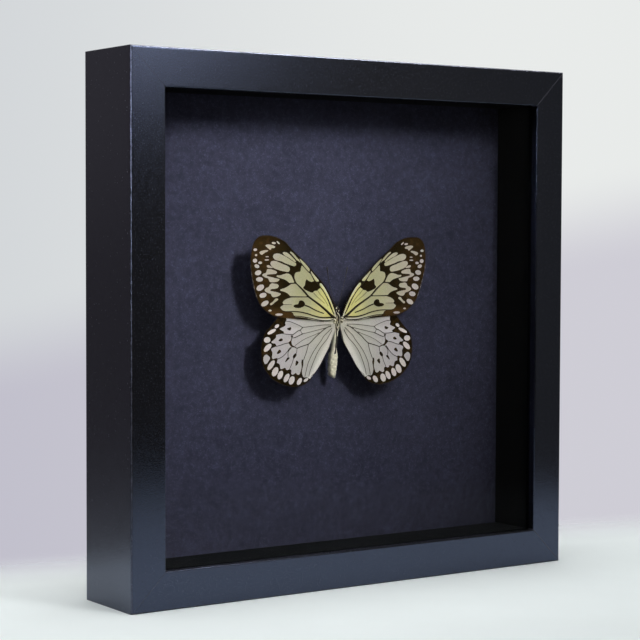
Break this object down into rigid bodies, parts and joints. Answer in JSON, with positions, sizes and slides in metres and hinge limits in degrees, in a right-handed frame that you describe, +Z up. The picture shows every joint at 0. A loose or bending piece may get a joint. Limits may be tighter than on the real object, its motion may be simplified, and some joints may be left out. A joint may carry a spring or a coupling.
{
  "type": "framed butterfly specimen",
  "caption": "Deep square black box frame with a pane, holding a spread pale butterfly with black markings, pinned in front of a dark blue-black card.",
  "frame": {"origin": "middle of the frame's underside", "axes": "+Z up the frame, +X to the viewer's right, +Y into the box, away from the pane"},
  "size_m": [0.25, 0.043, 0.25],
  "materials": {
    "frame_black": "satin black foil over wood, finely grained, worn slightly paler on the arrises",
    "steel": "plain zinc-plated steel",
    "pane": "clear low-reflection pane",
    "lining": "matte black strip",
    "card": "mottled blue-black textured card",
    "foam": "white foam sheet",
    "back_board": "smooth brown hardboard",
    "hanger_brass": "brass-plated",
    "pin_steel": "black enamelled pin",
    "body_scales": "cream and black scales and fine hair",
    "forewing_scales": "pale cream wing, yellow near the root, with black-brown markings and veins",
    "hindwing_scales": "pale grey-white wing with black-brown markings and thin grey veins",
    "antenna_black": "black, finely ringed"
  },
  "bodies": {
    "root": {"rail_top": "frame_black", "rail_bottom": "frame_black", "rail_left": "frame_black", "rail_right": "frame_black", "v_nail_top_left": "steel", "v_nail_top_right": "steel", "v_nail_bottom_left": "steel", "v_nail_bottom_right": "steel", "glass_pane": "pane", "spacer_top": "lining", "spacer_bottom": "lining", "spacer_left": "lining", "spacer_right": "lining", "mount_board": "card", "foam_sheet": "foam", "back_panel": "back_board", "tab_top_left": "steel", "tab_top_right": "steel", "tab_bottom_left": "steel", "tab_bottom_right": "steel", "tab_left_left": "steel", "tab_left_right": "steel", "tab_right_left": "steel", "tab_right_right": "steel", "sawtooth_hanger": "hanger_brass", "hanger_nail_left": "steel", "hanger_nail_right": "steel", "mounting_pin": "pin_steel", "butterfly_body": "body_scales", "forewing_left": "forewing_scales", "forewing_right": "forewing_scales", "hindwing_left": "hindwing_scales", "hindwing_right": "hindwing_scales", "antenna_left": "antenna_black", "antenna_right": "antenna_black"}
  },
  "joints": []
}
